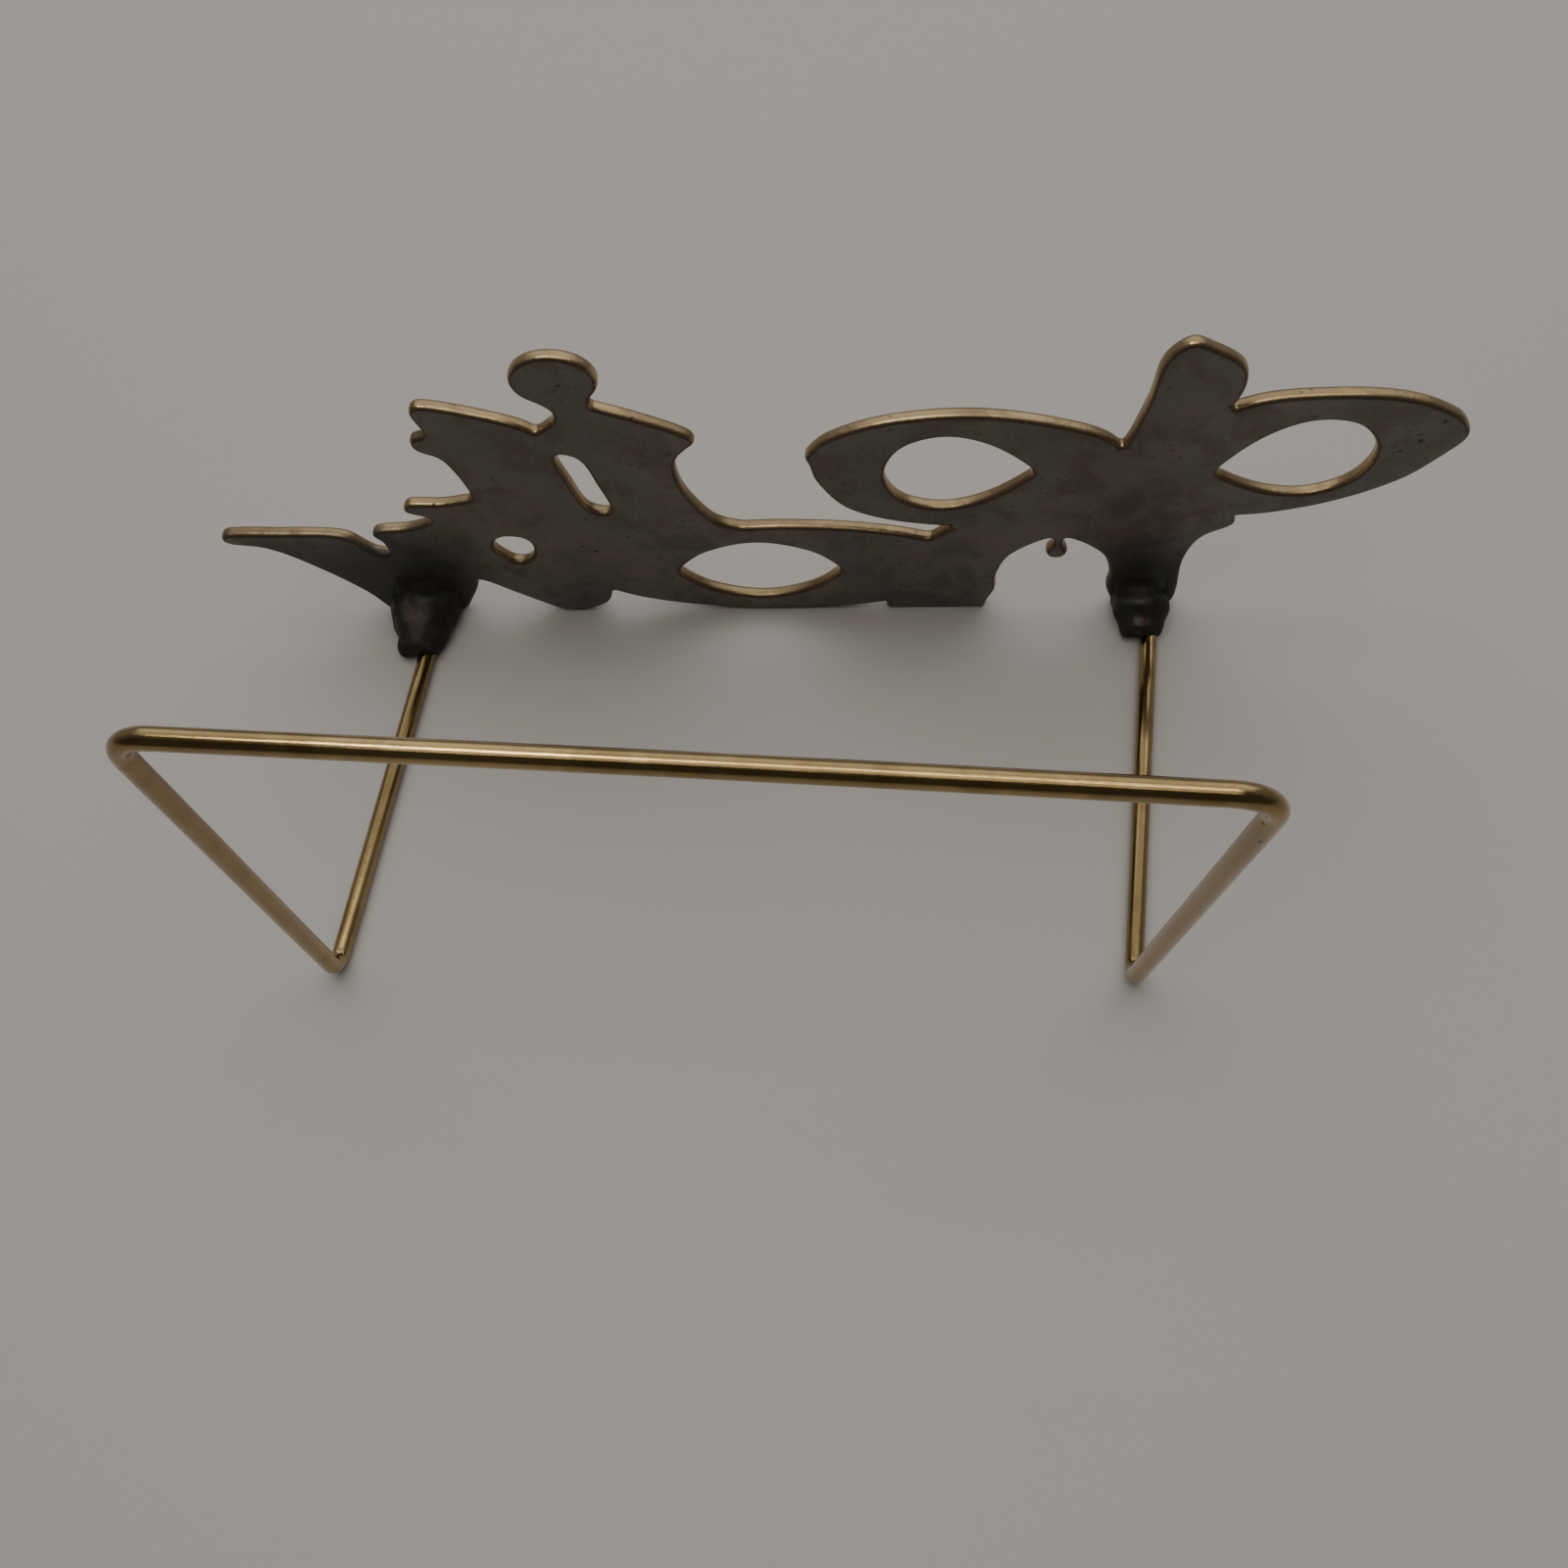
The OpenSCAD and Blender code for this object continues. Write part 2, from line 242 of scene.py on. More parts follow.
low = rim_points.min(axis=0)
high = rim_points.max(axis=0)
row = 0
z = low[1]
while z < high[1]:
    x = low[0] + (row % 2) * GRID_STEP / 2
    while x < high[0]:
        px = x + random.uniform(-GRID_JITTER, GRID_JITTER) * GRID_STEP
        pz = z + random.uniform(-GRID_JITTER, GRID_JITTER) * GRID_STEP
        gap = rim_distance(px, pz)
        if gap > ring_depths[-1] + GRID_CLEARANCE * GRID_STEP:
            flat_points.append((px, pz))
            flat_depth.append(gap)
        x += GRID_STEP
    z += GRID_STEP * math.sqrt(3) / 2
    row += 1
print("plate face points:", len(flat_points))

# %% Triangles between the points
ALL_TRIANGLES = 0
TOUCHING = 1e-5
outline_edges = []
first = 0
for ring in loops:
    n = len(ring)
    outline_edges += [(first + i, first + (i + 1) % n) for i in range(n)]
    first += n
made = geometry.delaunay_2d_cdt(
    [Vector(p) for p in flat_points], outline_edges, [], ALL_TRIANGLES, TOUCHING)
cdt_points, cdt_faces = made[0], made[2]
triangles = np.array([f for f in cdt_faces], int)
centres = np.array([p[:] for p in cdt_points])[triangles].mean(axis=1)


def inside_outline(points):
    """True where a point has an odd number of the outline's edges on one side of it."""
    ends = np.vstack([np.roll(ring, -1, axis=0) for ring in loops])
    crossings = np.zeros(len(points), int)
    for (x0, z0), (x1, z1) in zip(rim_points, ends):
        spans = (points[:, 1] > min(z0, z1)) & (points[:, 1] <= max(z0, z1))
        if z1 != z0 and spans.any():
            at = x0 + (points[spans, 1] - z0) * (x1 - x0) / (z1 - z0)
            crossings[np.nonzero(spans)[0]] += points[spans, 0] < at
    return crossings % 2 == 1


triangles = triangles[inside_outline(centres)]
print("plate face triangles:", len(triangles), "new points:", len(cdt_points) - len(flat_points))

# %% [markdown]
# ## The plate's two faces and its edge
# Hand finishing leaves a soft edge and faces that are never quite flat. The same triangles serve
# front and back: near the rim each point drops by a quarter round, and slow noise, a tenth of a
# millimetre deep, gives the faces the gentle hollows of cast metal. Three values are stored with
# every point, for the finish to read later: how near the rim it is, how much soot from soldering
# lies there, and whether it is on the polished front.

# %% Hollows in the cast faces
random.seed(12)
HOLLOW_COUNT = 150
HOLLOW_RANGES = {"x": (-105, 105), "z": (2, 68), "size": (1.1, 2.6), "depth": (0.04, 0.1),
                 "lean": (-0.5, 0.5)}
HOLLOW_SQUASH = 1.7
HOLLOW_REACH = 5
FRONT_HOLLOWS = 0.4
# Each wave: its length across, its length up, and its height.
SLOW_WAVE = (17, 11, 0.07)
SMALL_WAVE = (5.5, 4, 0.035)
HOLLOWS = [[random.uniform(*between) for between in HOLLOW_RANGES.values()]
           for _ in range(HOLLOW_COUNT)]
hollow_tree = kdtree.KDTree(len(HOLLOWS))
for i, spot in enumerate(HOLLOWS):
    hollow_tree.insert((spot[0], spot[1], 0), i)
hollow_tree.balance()


def wave(x, z, shift, kind):
    """Slow noise over the face, moved by the shift so that front and back differ."""
    across, up, tall = kind
    return noise.noise(Vector((x / across, z / up, shift))) * tall


def hollow_depth(x, z, side):
    """How far the face stands out here in mm; side is 1 for the back and -1 for the front."""
    slow = wave(x, z, side * 9.7, SLOW_WAVE)
    small = wave(x, z, side * 4.1 + 30, SMALL_WAVE)
    deep = 0
    for _, i, _ in hollow_tree.find_range((x, z, 0), HOLLOW_REACH):
        cx, cz, size, depth, lean = HOLLOWS[i]
        dx, dz = x - cx, z - cz
        dx, dz = dx + lean * dz, dz * HOLLOW_SQUASH
        deep += depth * math.exp(-(dx * dx + dz * dz) / (size * size))
    return slow + small - deep * (1 if side > 0 else FRONT_HOLLOWS)


def quarter_round(depth):
    """How far the rounded edge has dropped, at this distance in from the rim."""
    short = max(ROUND_OVER - depth, 0)
    return ROUND_OVER - math.sqrt(ROUND_OVER ** 2 - short ** 2)


print("hollows:", len(HOLLOWS))

# %% Soot around the joints
# Each joint's node and how far its soot spreads.
JOINTS = [("left_solder", 19.0), ("right_solder", 15.0)]
SOOT_OUTWARD = 0.42
SOOT_INWARD = 1.1
SOOT_UPWARD = 0.85
joint_middles = []
for node, spread in JOINTS:
    low_corner, high_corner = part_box(node)
    middle = (low_corner + high_corner) / 2 / MM
    joint_middles.append((middle.x, middle.z, spread))


def soot_at(x, z):
    """1 at a joint, less further off. The left joint's soot reaches far along the outer leaf."""
    most = 0
    for cx, cz, spread in joint_middles:
        aside = (x - cx) * (SOOT_OUTWARD if x > cx > 0 else SOOT_INWARD)
        upright = max(z - cz, 0) * SOOT_UPWARD + max(cz - z, 0)
        most = max(most, math.exp(-(math.hypot(aside, upright) / spread) ** 2))
    return most


print("joints at:", [tuple(round(c, 1) for c in joint) for joint in joint_middles])

# %% Plate mesh
FRONT_SOOT = 0.25
WALL_ROWS = 2
FILE_MARK_DEPTH = 0.05
FILE_MARK_LENGTH = 2.2
WALL_SOOT_LOSS = 0.6
WALL_FRONT = 0.5
back_y, front_y = plate_high.y / MM, plate_low.y / MM
count = len(flat_points)
verts, rim_values, soot_values, front_values = [], [], [], []
for side, face_y in ((1, back_y), (-1, front_y)):
    for (x, z), depth in zip(flat_points, flat_depth):
        dip = hollow_depth(x, z, side) * min(depth / ROUND_OVER, 1)
        verts.append((x, face_y - side * (quarter_round(depth) - dip), z))
        rim_values.append(max(0, 1 - depth / ROUND_OVER))
        soot_values.append(soot_at(x, z) * (1 if side > 0 else FRONT_SOOT))
        front_values.append(0 if side > 0 else 1)
faces = [tuple(t[::-1]) for t in triangles] + [tuple(t + count) for t in triangles]

wall_start = len(verts)
for part in range(1, WALL_ROWS + 1):
    share = part / (WALL_ROWS + 1)
    for (x, z), (nx, nz) in zip(rim_points, rim_inward):
        spot = Vector((x / FILE_MARK_LENGTH, share * 2, z / FILE_MARK_LENGTH))
        file_mark = FILE_MARK_DEPTH * noise.noise(spot)
        y = (back_y - ROUND_OVER) * (1 - share) + (front_y + ROUND_OVER) * share
        verts.append((x + nx * file_mark, y, z + nz * file_mark))
        rim_values.append(1)
        soot_values.append(soot_at(x, z) * (1 - WALL_SOOT_LOSS * share))
        front_values.append(share * WALL_FRONT)
rim_count = len(rim_points)
wall_rows = [0, wall_start, wall_start + rim_count, count]
for upper, lower in zip(wall_rows, wall_rows[1:]):
    faces += [(upper + a, lower + a, lower + b, upper + b) for a, b in outline_edges]

plate_mesh = bpy.data.meshes.new("pierced_plate")
plate_mesh.from_pydata([tuple(v) for v in np.array(verts) * MM], [],
                       [tuple(int(i) for i in f) for f in faces])
plate_mesh.validate()
smooth_shaded(plate_mesh)
plate = shown("pierced_plate", plate_mesh)
store(plate.data, "rim", rim_values)
store(plate.data, "soot", soot_values)
store(plate.data, "front", front_values)
print("plate:", len(plate.data.vertices), "points,", len(faces), "faces")

# %% [markdown]
# ## The rod's route
# One length of drawn brass rod, a shade over three millimetres thick, makes both legs, both
# uprights and the crossbar. Its route is read from the CAD node: the long edges of each straight
# end in two rings, whose middles give the straight's axis, and neighbouring axes meet at the
# corners.

# %% Straights and corners of the rod
SHORTEST_STRAIGHT = 20 * MM
NEAR_PLATE = 5


def straight_axes(bm):
    """The two ends of every straight's middle line, in mm."""
    groups = []
    for edge in bm.edges:
        if edge.calc_length() < SHORTEST_STRAIGHT:
            continue
        joined = set(edge.verts)
        for group in [g for g in groups if g & joined]:
            joined |= group
            groups.remove(group)
        groups.append(joined)
    axes = []
    for group in groups:
        spots = np.array([v.co for v in sorted(group, key=lambda v: v.index)]) / MM
        way = np.linalg.svd(spots - spots.mean(axis=0))[2][0]
        reach = (spots - spots.mean(axis=0)) @ way
        axes.append((spots[reach > 0].mean(axis=0), spots[reach < 0].mean(axis=0)))
    return axes


def meeting_point(a, b):
    """Where two middle lines meet, or the point halfway between them where they pass."""
    way_a, way_b = a[1] - a[0], b[1] - b[0]
    steps = np.linalg.lstsq(np.stack([way_a, -way_b], axis=1), b[0] - a[0], rcond=None)[0]
    return (a[0] + way_a * steps[0] + b[0] + way_b * steps[1]) / 2


rod_bm = merged_copy("wire_frame")
axes = straight_axes(rod_bm)
rod_bm.free()
ends_at_plate = [e for axis in axes for e in axis if e[1] < rod_low.y / MM + NEAR_PLATE]
here, chain = max(ends_at_plate, key=lambda e: e[0]), []
while axes:
    axis = min(axes, key=lambda a: min(np.linalg.norm(a[0] - here), np.linalg.norm(a[1] - here)))
    axes = [a for a in axes if a is not axis]
    if np.linalg.norm(axis[1] - here) < np.linalg.norm(axis[0] - here):
        axis = (axis[1], axis[0])
    chain.append(axis)
    here = axis[1]
route = [chain[0][0]] + [meeting_point(a, b) for a, b in zip(chain, chain[1:])] + [chain[-1][1]]
bend_radii = [0.0]
for corner, axis, after in zip(route[1:], chain, chain[1:]):
    u = axis[0] - corner
    v = after[1] - corner
    half = math.acos(u @ v / np.linalg.norm(u) / np.linalg.norm(v)) / 2
    bend_radii.append(float(np.linalg.norm(axis[1] - corner) * math.tan(half)))
bend_radii.append(0.0)
for spot, radius in zip(route, bend_radii):
    print("rod corner", np.round(spot, 2), "bend", round(radius, 2))

# %% [markdown]
# ## The rod as a Geometry Nodes tree
# A rod along a path follows a plain rule, so Geometry Nodes sweep it: fillet the corners,
# resample, bow the crossbar a little as the real one is, and carry a circle along. The tree also
# stores where each point lies along and around the rod, because drawn rod has fine lines that
# follow its length.

# %% Helpers for node trees
def place(tree, kind, **settings):
    made_node = tree.nodes.new(kind)
    for name, value in settings.items():
        setattr(made_node, name, value)
    return made_node


def join(tree, *pairs):
    for source, target in pairs:
        tree.links.new(source, target)


def tree_socket(tree, name, kind, way="INPUT", default=None, low=None, high=None):
    socket = tree.interface.new_socket(name=name, in_out=way, socket_type=kind)
    if default is not None:
        socket.default_value = default
    if low is not None:
        socket.min_value, socket.max_value = low, high
    return socket


def feed(tree, socket, value):
    """Sets a socket to a number or a colour, or links it to another node's output."""
    if isinstance(value, (int, float, tuple)):
        socket.default_value = value
    else:
        tree.links.new(value, socket)


def feed_all(tree, made_node, values):
    for label, value in values.items():
        feed(tree, made_node.inputs[label], value)


def math_node(tree, operation, first, second=None, clamp=False):
    made_node = place(tree, "ShaderNodeMath", operation=operation, use_clamp=clamp)
    feed(tree, made_node.inputs[0], first)
    if second is not None:
        feed(tree, made_node.inputs[1], second)
    return made_node.outputs[0]


def times(tree, first, second):
    return math_node(tree, "MULTIPLY", first, second)


# %% The sweep tree
BEND_POINTS = 16
BOW_FROM = 0.93
BOW_FULL = 0.975
CROSSBAR_SPAN = 0.14
DENT_SCALE = 140.0
sweep = bpy.data.node_groups.new("bent_rod", "GeometryNodeTree")
tree_socket(sweep, "Geometry", "NodeSocketGeometry")
for label, kind, default, low_end, high_end in (
    ("Diameter", "Float", 3.2 * MM, 0.0, 1.0),
    ("Sides", "Int", 28, 3, 64),
    ("Sample Length", "Float", 0.7 * MM, 1e-5, 1.0),
    ("Crossbar Bow", "Float", 0.0, -1.0, 1.0),
    ("Dents", "Float", 0.0, 0.0, 1.0),
    ("Seed", "Float", 3.0, 0.0, 100.0),
):
    tree_socket(sweep, label, "NodeSocket" + kind, default=default, low=low_end, high=high_end)
tree_socket(sweep, "Finish", "NodeSocketMaterial")
tree_socket(sweep, "Geometry", "NodeSocketGeometry", way="OUTPUT")
inputs = place(sweep, "NodeGroupInput")
radius = place(sweep, "GeometryNodeInputRadius")
fillet = place(sweep, "GeometryNodeFilletCurve", mode="POLY")
fillet.inputs["Count"].default_value = BEND_POINTS
even_radius = place(sweep, "GeometryNodeSetCurveRadius")
even_radius.inputs["Radius"].default_value = 1.0
resample = place(sweep, "GeometryNodeResampleCurve", mode="LENGTH")
along = place(sweep, "GeometryNodeSplineParameter")
position = place(sweep, "GeometryNodeInputPosition")
split = place(sweep, "ShaderNodeSeparateXYZ")
bow_curve = place(sweep, "ShaderNodeMapRange", interpolation_type="SMOOTHSTEP")
bow_curve.inputs["From Min"].default_value = rod_high.z * BOW_FROM
bow_curve.inputs["From Max"].default_value = rod_high.z * BOW_FULL
arch = math_node(sweep, "COSINE", times(sweep, split.outputs["X"], math.pi / CROSSBAR_SPAN))
bow = times(sweep, arch, bow_curve.outputs["Result"])
bow_lift = place(sweep, "ShaderNodeCombineXYZ")
bow_offset = place(sweep, "GeometryNodeSetPosition")
store_along = place(sweep, "GeometryNodeStoreNamedAttribute", data_type="FLOAT", domain="POINT")
store_along.inputs["Name"].default_value = "along"
circle = place(sweep, "GeometryNodeCurvePrimitiveCircle", mode="RADIUS")
around = place(sweep, "GeometryNodeSplineParameter")
turn = times(sweep, around.outputs["Factor"], 2 * math.pi)
facing = place(sweep, "ShaderNodeCombineXYZ")
store_facing = place(sweep, "GeometryNodeStoreNamedAttribute", data_type="FLOAT_VECTOR",
                     domain="POINT")
store_facing.inputs["Name"].default_value = "facing"
to_mesh = place(sweep, "GeometryNodeCurveToMesh")
to_mesh.inputs["Fill Caps"].default_value = True
normal = place(sweep, "GeometryNodeInputNormal")
dent_noise = place(sweep, "ShaderNodeTexNoise", noise_dimensions="4D")
dent_noise.inputs["Scale"].default_value = DENT_SCALE
dent_noise.inputs["Detail"].default_value = 2.0
dent = math_node(sweep, "SUBTRACT", dent_noise.outputs[0], 0.5)
dent_push = place(sweep, "ShaderNodeVectorMath", operation="SCALE")
dent_offset = place(sweep, "GeometryNodeSetPosition")
smooth = place(sweep, "GeometryNodeSetShadeSmooth")
finish_node = place(sweep, "GeometryNodeSetMaterial")
realize = place(sweep, "GeometryNodeRealizeInstances")
outputs = place(sweep, "NodeGroupOutput")
join(
    sweep,
    (inputs.outputs["Geometry"], fillet.inputs["Curve"]),
    (radius.outputs[0], fillet.inputs["Radius"]),
    (fillet.outputs[0], even_radius.inputs["Curve"]),
    (even_radius.outputs[0], resample.inputs["Curve"]),
    (inputs.outputs["Sample Length"], resample.inputs["Length"]),
    (resample.outputs[0], bow_offset.inputs["Geometry"]),
    (position.outputs[0], split.inputs[0]),
    (split.outputs["Z"], bow_curve.inputs["Value"]),
    (times(sweep, bow, inputs.outputs["Crossbar Bow"]), bow_lift.inputs["Z"]),
    (bow_lift.outputs[0], bow_offset.inputs["Offset"]),
    (bow_offset.outputs[0], store_along.inputs["Geometry"]),
    (along.outputs["Length"], store_along.inputs["Value"]),
    (store_along.outputs[0], to_mesh.inputs["Curve"]),
    (inputs.outputs["Sides"], circle.inputs["Resolution"]),
    (times(sweep, inputs.outputs["Diameter"], 0.5), circle.inputs["Radius"]),
    (math_node(sweep, "COSINE", turn), facing.inputs["X"]),
    (math_node(sweep, "SINE", turn), facing.inputs["Y"]),
    (circle.outputs[0], store_facing.inputs["Geometry"]),
    (facing.outputs[0], store_facing.inputs["Value"]),
    (store_facing.outputs[0], to_mesh.inputs["Profile Curve"]),
    (to_mesh.outputs[0], dent_offset.inputs["Geometry"]),
    (inputs.outputs["Seed"], dent_noise.inputs["W"]),
    (normal.outputs[0], dent_push.inputs[0]),
    (times(sweep, dent, inputs.outputs["Dents"]), dent_push.inputs["Scale"]),
    (dent_push.outputs[0], dent_offset.inputs["Offset"]),
    (dent_offset.outputs[0], smooth.inputs["Geometry"]),
    (smooth.outputs[0], finish_node.inputs["Geometry"]),
    (inputs.outputs["Finish"], finish_node.inputs["Material"]),
    (finish_node.outputs[0], realize.inputs["Geometry"]),
    (realize.outputs[0], outputs.inputs["Geometry"]),
)
print("sweep tree:", len(sweep.nodes), "nodes")

# %% [markdown]
# ## Sweeping the rod
# The corners become a poly curve whose point radius holds each bend's radius. The tree's inputs
# are set by their identifiers, its result is copied to a plain mesh, and the curve is thrown away.

# %% Rod mesh
def poly_curve(name, points, radii):
    curve = bpy.data.curves.new(name, "CURVE")
    curve.dimensions = "3D"
    spline = curve.splines.new("POLY")
    spline.points.add(len(points) - 1)
    for point, spot, bend in zip(spline.points, points, radii):
        point.co = (*(spot * MM), 1)
        point.radius = max(bend, 0.0) * MM
    return shown(name, curve)


def run_tree(carrier, tree, name, values):
    """Runs the tree on the carrier with these values, and gives the result as a plain mesh."""
    modifier = carrier.modifiers.new("shape", "NODES")
    modifier.node_group = tree
    for item in tree.interface.items_tree:
        if item.item_type == "SOCKET" and item.in_out == "INPUT" and item.name in values:
            modifier[item.identifier] = values[item.name]
    bpy.context.view_layer.update()
    evaluated = carrier.evaluated_get(bpy.context.evaluated_depsgraph_get())
    mesh = bpy.data.meshes.new_from_object(evaluated, preserve_all_data_layers=True)
    mesh.name = name
    made = shown(name, mesh)
    bpy.data.objects.remove(carrier)
    return made


drawn_brass = bpy.data.materials.new("drawn_brass")
# The heel rests on the floor, so its middle line is half a diameter up.
rod_diameter = 2 * route[1][2] * MM
rod = run_tree(poly_curve("rod_route", route, bend_radii), sweep, "bent_rod", {
    "Diameter": rod_diameter,
    "Sides": 28,
    "Sample Length": 0.7 * MM,
    "Crossbar Bow": 0.35 * MM,
    "Dents": 0.03 * MM,
    "Seed": 3.0,
    "Finish": drawn_brass,
})
print("rod:", len(rod.data.vertices), "points,", round(rod_diameter / MM, 2), "mm across")

# %% [markdown]
# ## Lumps of solder
# Each leg is held to the plate by a blob of hard solder, blackened by the torch. It isn't a cone:
# it sagged, creased and crept up the plate before it set. The CAD lump's hull is joined with a few
# round blobs, remeshed with small voxels into one skin, and then pushed in and out by noise.

# %% Blob helpers
VOXEL = 0.28 * MM
SMOOTH_PASSES = 60
# Each ripple of the skin: its lengths along x, y and z, and its height, in mm.
SWELL = ((4.2, 3.4, 3.4), 0.6)
CREASE = ((3.1, 4.0, 3.3), 0.22)
GRIT = ((1.1, 1.1, 1.1), 0.05)
CREASE_LIFT = 0.05
LUMP_FLOOR = 0.15
INTO_PLATE = 0.6


def add_ball(bm, middle, sizes):
    ball = bmesh.ops.create_icosphere(bm, subdivisions=3, radius=1.0)
    for v in ball["verts"]:
        v.co = Vector([c + s * a for c, s, a in zip(middle, sizes, v.co)]) * MM


def blocky_core(node, share):
    """The hull of the CAD lump, with this share of its width and height."""
    bm = merged_copy(node)
    bm.verts.index_update()
    hull = bmesh.ops.convex_hull(bm, input=bm.verts)
    hull_faces = [f for f in hull["geom"] if isinstance(f, bmesh.types.BMFace)]
    kept = {v.index for f in hull_faces for v in f.verts}
    spots = [v.co.copy() for v in bm.verts if v.index in kept]
    bm.free()
    core = bmesh.new()
    centre = sum(spots, Vector()) / len(spots)
    for spot in spots:
        away = spot - centre
        core.verts.new(centre + Vector((away.x * share, away.y, away.z * share)))
    bmesh.ops.convex_hull(core, input=core.verts)
    return core


def one_skin(name, bm):
    """All the shapes in bm as one object with one voxel skin."""
    mesh = bpy.data.meshes.new(name)
    bm.to_mesh(mesh)
    bm.free()
    made = shown(name, mesh)
    remesh = made.modifiers.new("skin", "REMESH")
    remesh.mode = "VOXEL"
    remesh.voxel_size = VOXEL
    bpy.context.view_layer.update()
    evaluated = made.evaluated_get(bpy.context.evaluated_depsgraph_get())
    skin = bpy.data.meshes.new_from_object(evaluated)
    made.modifiers.clear()
    made.data = skin
    return made


def ripple(p, shift, kind):
    """Noise in space at the point p, moved by the shift so that the lumps differ."""
    lengths, tall = kind
    spot = [c / length + s for c, length, s in zip(p, lengths, shift)]
    return noise.noise(Vector(spot)) * tall


# %% Lumps
def lump(node, name, balls, seed, core_share):
    core = blocky_core(node, core_share)
    for middle, sizes in balls:
        add_ball(core, middle, sizes)
    made = one_skin(name, core)
    skin = made.data
    bm = bmesh.new()
    bm.from_mesh(skin)
    for _ in range(SMOOTH_PASSES):
        bmesh.ops.smooth_vert(bm, verts=bm.verts, factor=0.5,
                              use_axis_x=True, use_axis_y=True, use_axis_z=True)
    bm.normal_update()
    moved = []
    for v in bm.verts:
        p = v.co / MM
        swell = ripple(p, (seed, 0, 0), SWELL)
        crease = CREASE_LIFT - abs(ripple(p, (seed, 0, 0), CREASE))
        grit = ripple(p, (0, 0, seed), GRIT)
        q = p + v.normal * (swell + crease + grit)
        q.z = max(q.z, LUMP_FLOOR)
        q.y = max(q.y, plate_high.y / MM - INTO_PLATE)
        moved.append(q * MM)
    for v, q in zip(bm.verts, moved):
        v.co = q
    bmesh.ops.recalc_face_normals(bm, faces=bm.faces)
    bm.to_mesh(skin)
    bm.free()
    smooth_shaded(skin)
    skin.name = name
    print(name, len(skin.vertices), "points")
    return made


# Each ball: its middle and its three radii. The first creeps up the plate, the second is the
# body of the lump, and the third runs out along the leg.
left_start = (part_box("left_solder")[0] / MM).y
right_start = (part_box("right_solder")[0] / MM).y
LEFT_BALLS = (
    ((74.6, left_start - 1.2, 8.3), (8.0, 2.2, 8.0)),
    ((78.4, left_start + 2.2, 4.2), (4.8, 4.4, 4.4)),
    ((75.0, left_start + 6.8, 3.2), (3.5, 4.5, 3.0)),
)
RIGHT_BALLS = (
    ((-63.6, right_start - 1.2, 7.6), (5.8, 2.2, 7.8)),
    ((-63.5, right_start + 2.6, 4.0), (5.5, 4.6, 4.7)),
    ((-65.4, right_start + 5.8, 3.0), (2.6, 3.0, 2.7)),
)
left_lump = lump("left_solder", "left_solder_lump", LEFT_BALLS, seed=4.0, core_share=0.93)
right_lump = lump("right_solder", "right_solder_lump", RIGHT_BALLS, seed=5.0, core_share=0.86)

# %% [markdown]
# ## Effects that several finishes share
# Tarnish and pits appear on more than one piece, so each is a shader node group, built once. A
# group gives out only values and heights. Each material decides what they do to its colour,
# roughness and bumps, so one group can look soft on the plate and sharp on the rod.

# %% Group helpers
def shader_group(name, ins, outs):
    """A group that takes a vector and these named numbers, and puts out these named values."""
    tree = bpy.data.node_groups.new(name, "ShaderNodeTree")
    tree_socket(tree, "Vector", "NodeSocketVector")
    for label, default in ins.items():
        tree_socket(tree, label, "NodeSocketFloat", default=default)
    for label in outs:
        tree_socket(tree, label, "NodeSocketFloat", way="OUTPUT")
    return tree, place(tree, "NodeGroupInput"), place(tree, "NodeGroupOutput")


def noise_node(tree, vector, scale, detail=3.0, roughness=0.5, distortion=0.0):
    made_node = place(tree, "ShaderNodeTexNoise")
    feed_all(tree, made_node, {"Vector": vector, "Scale": scale, "Detail": detail,
                               "Roughness": roughness, "Distortion": distortion})
    return made_node.outputs[0]


def ramp(tree, value, low, high, out_low=0.0, out_high=1.0):
    """A soft step: out_low where the value is at low or under, out_high at high or over."""
    made_node = place(tree, "ShaderNodeMapRange", interpolation_type="SMOOTHSTEP")
    feed_all(tree, made_node, {"Value": value, "From Min": low, "From Max": high,
                               "To Min": out_low, "To Max": out_high})
    return made_node.outputs[0]


# %% [markdown]
# ## Tarnish
# Old brass darkens unevenly, and at three sizes at once. Cloud is slow, a few centimetres across.
# Blotch is patches of a few millimetres with a slightly pulled outline. Grain is fine and even.
# Three noises in one group give all of them, and a soft step turns the first two into patches.

# %% Tarnish group
# Detail, roughness and distortion of each noise, then the step that makes patches of it.
CLOUD_NOISE, CLOUD_STEP = (3.0, 0.5, 0.6), (0.36, 0.64)
BLOTCH_NOISE, BLOTCH_STEP = (5.0, 0.6, 0.5), (0.42, 0.66)
GRAIN_NOISE = (3.0, 0.65, 0.0)
tarnish, t_in, t_out = shader_group(
    "tarnish",
    {"Cloud Scale": 28.0, "Blotch Scale": 170.0, "Grain Scale": 1500.0},
    ["Cloud", "Blotch", "Grain"],
)
spot_in = t_in.outputs["Vector"]
cloud = noise_node(tarnish, spot_in, t_in.outputs["Cloud Scale"], *CLOUD_NOISE)
blotch = noise_node(tarnish, spot_in, t_in.outputs["Blotch Scale"], *BLOTCH_NOISE)
grain = noise_node(tarnish, spot_in, t_in.outputs["Grain Scale"], *GRAIN_NOISE)
join(
    tarnish,
    (ramp(tarnish, cloud, *CLOUD_STEP), t_out.inputs["Cloud"]),
    (ramp(tarnish, blotch, *BLOTCH_STEP), t_out.inputs["Blotch"]),
    (grain, t_out.inputs["Grain"]),
)
print("tarnish group:", len(tarnish.nodes), "nodes")

# %% [markdown]
# ## Pits
# Corrosion and casting leave small round holes that come in patches. Voronoi cells scatter them, a
# wobble makes them less round, and a slow noise with each cell's own random value decides which
# cells hold a pit.

